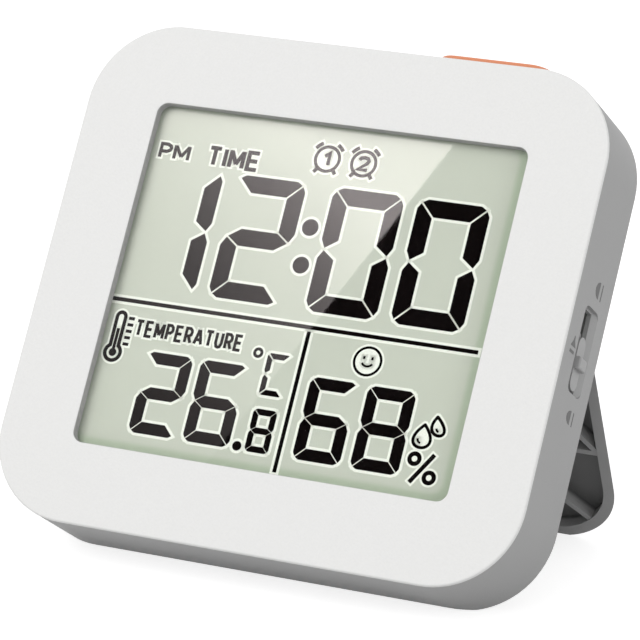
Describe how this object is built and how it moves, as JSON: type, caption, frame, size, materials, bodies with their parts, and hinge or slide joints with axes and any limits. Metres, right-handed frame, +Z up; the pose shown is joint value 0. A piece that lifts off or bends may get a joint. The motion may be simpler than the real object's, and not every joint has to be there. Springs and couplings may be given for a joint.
{
  "type": "thermometer hygrometer clock",
  "caption": "Desk clock with a recessed display for time, temperature and humidity, a top snooze button, a side slide switch, rear keys, a battery bay and a fold-out ribbed stand.",
  "frame": {"origin": "centre of the flat land on the rear bottom edge of the case, on which the clock stands", "axes": "+X to the viewer's right, +Y away from the viewer, +Z up; the face leans back"},
  "size_m": [0.1106, 0.0701, 0.0973],
  "materials": {
    "white_plastic": "fine satin grain",
    "grey_plastic": "fine matte grain",
    "orange_plastic": "satin",
    "clear_plastic": "polished",
    "display_glass": "display cell",
    "reflector_foil": "diffuse foil",
    "silicone": "striped elastomer",
    "circuit_board": "solder mask",
    "black_epoxy": "potting resin",
    "black_plastic": "moulded",
    "plated_steel": "nickel plated",
    "can_aluminium": "drawn can",
    "battery_sleeve": "plain printed sleeve",
    "brass": "sheet",
    "piezo_ceramic": "silvered",
    "lead_insulation": "insulated wire"
  },
  "bodies": {
    "case": {"alarm_switch_body": "plated_steel", "battery_lower": "battery_sleeve", "battery_upper": "battery_sleeve", "bridge_contact": "plated_steel", "buzzer_ceramic": "piezo_ceramic", "buzzer_leads": "lead_insulation", "buzzer_plate": "brass", "capacitor": "can_aluminium", "case_screws": "plated_steel", "crystal": "plated_steel", "down_key_switch": "black_plastic", "driver_chip": "black_epoxy", "front_bezel": "white_plastic", "humidity_sensor": "black_epoxy", "lcd_front_glass": "display_glass", "lcd_holder": "white_plastic", "lcd_rear_glass": "display_glass", "lcd_reflector": "reflector_foil", "lens_window": "clear_plastic", "main_pcb": "circuit_board", "mode_key_switch": "black_plastic", "negative_contact": "plated_steel", "pcb_screws": "plated_steel", "positive_contact": "plated_steel", "rear_case": "grey_plastic", "snooze_switch": "black_plastic", "thermistor": "black_epoxy", "unit_key_switch": "black_plastic", "up_key_switch": "black_plastic", "zebra_strip": "silicone"},
    "stand": {"stand": "grey_plastic"},
    "snooze": {"snooze_button": "orange_plastic", "snooze_plunger": "black_plastic"},
    "alarm_slider": {"alarm_switch_knob": "grey_plastic", "alarm_switch_lever": "black_plastic"},
    "battery_cover": {"battery_door": "grey_plastic"},
    "mode_key": {"mode_key": "grey_plastic", "mode_key_plunger": "black_plastic"},
    "up_key": {"up_key": "grey_plastic", "up_key_plunger": "black_plastic"},
    "down_key": {"down_key": "grey_plastic", "down_key_plunger": "black_plastic"},
    "unit_key": {"unit_key": "grey_plastic", "unit_key_plunger": "black_plastic"}
  },
  "joints": [
    {"name": "stand_hinge", "type": "hinge", "parent": "case", "child": "stand", "pos_m": [0, 0.02743, 0.04862], "axis": [1, 0, 0], "range_deg": [-58, 0]},
    {"name": "snooze_press", "type": "slide", "parent": "case", "child": "snooze", "axis": [0, -0.5165, -0.8563], "range_m": [0, 0.001], "stiffness_N_per_m": 600},
    {"name": "alarm_slide", "type": "slide", "parent": "case", "child": "alarm_slider", "axis": [0, 0.5165, 0.8563], "range_m": [0, 0.005]},
    {"name": "battery_cover_lift", "type": "slide", "parent": "case", "child": "battery_cover", "axis": [0, 0.8563, -0.5165], "range_m": [0, 0.016]},
    {"name": "mode_key_press", "type": "slide", "parent": "case", "child": "mode_key", "axis": [0, -0.8563, 0.5165], "range_m": [0, 0.0008], "stiffness_N_per_m": 600},
    {"name": "up_key_press", "type": "slide", "parent": "case", "child": "up_key", "axis": [0, -0.8563, 0.5165], "range_m": [0, 0.0008], "stiffness_N_per_m": 600},
    {"name": "down_key_press", "type": "slide", "parent": "case", "child": "down_key", "axis": [0, -0.8563, 0.5165], "range_m": [0, 0.0008], "stiffness_N_per_m": 600},
    {"name": "unit_key_press", "type": "slide", "parent": "case", "child": "unit_key", "axis": [0, -0.8563, 0.5165], "range_m": [0, 0.0008], "stiffness_N_per_m": 600}
  ]
}
